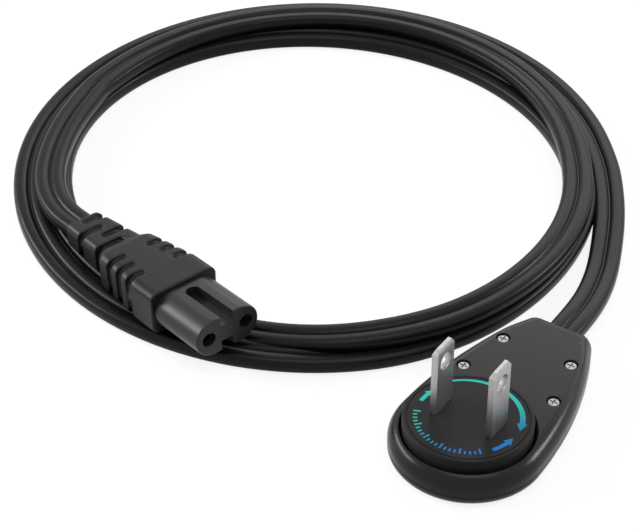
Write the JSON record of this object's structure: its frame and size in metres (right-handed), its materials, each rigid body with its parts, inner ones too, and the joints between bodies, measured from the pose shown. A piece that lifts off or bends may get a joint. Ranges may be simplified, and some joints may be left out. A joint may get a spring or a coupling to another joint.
{
  "type": "flat low profile plug with cord",
  "caption": "Flat low profile plug with a turning blade disc, on a flat cord that lies in a coil and ends in a figure-of-eight connector.",
  "frame": {"origin": "on the axis of the turning disc, at the plug's back face", "axes": "+Z along the disc's axis out of the blades' tips, +Y towards the end that the cord leaves by, +X from one blade to the other"},
  "size_m": [0.1689, 0.1574, 0.0254],
  "materials": {
    "cover_plastic": "fine matt",
    "disc_plastic": "satin",
    "cord_pvc": "satin",
    "connector_pvc": "satin",
    "nose_plastic": "satin",
    "plated_blade": "nickel plated, brushed",
    "contact_brass": "satin",
    "screw_steel": "plated",
    "wire_insulation": "satin"
  },
  "bodies": {
    "housing": {"wall_cover": "cover_plastic", "room_cover": "cover_plastic", "cover_screws": "screw_steel", "inner_slip_ring": "contact_brass", "outer_slip_ring": "contact_brass", "line_conductor": "wire_insulation", "neutral_conductor": "wire_insulation", "cord_anchor": "cord_pvc", "cord_lead": "cord_pvc", "cord_coil": "cord_pvc", "cord_tail": "cord_pvc", "connector_grip": "connector_pvc", "connector_nose": "nose_plastic", "line_contact_sleeve": "contact_brass", "neutral_contact_sleeve": "contact_brass"},
    "rotor": {"rotor_disc": "disc_plastic", "retaining_plate": "disc_plastic", "plate_screws": "screw_steel", "line_blade": "plated_blade", "neutral_blade": "plated_blade", "line_contact_spring": "contact_brass", "neutral_contact_spring": "contact_brass", "spring_rivets": "contact_brass"}
  },
  "joints": [
    {"name": "rotor_spin", "type": "hinge", "parent": "housing", "child": "rotor", "pos_m": [0, 0, 0], "axis": [0, 0, 1], "continuous": true}
  ]
}
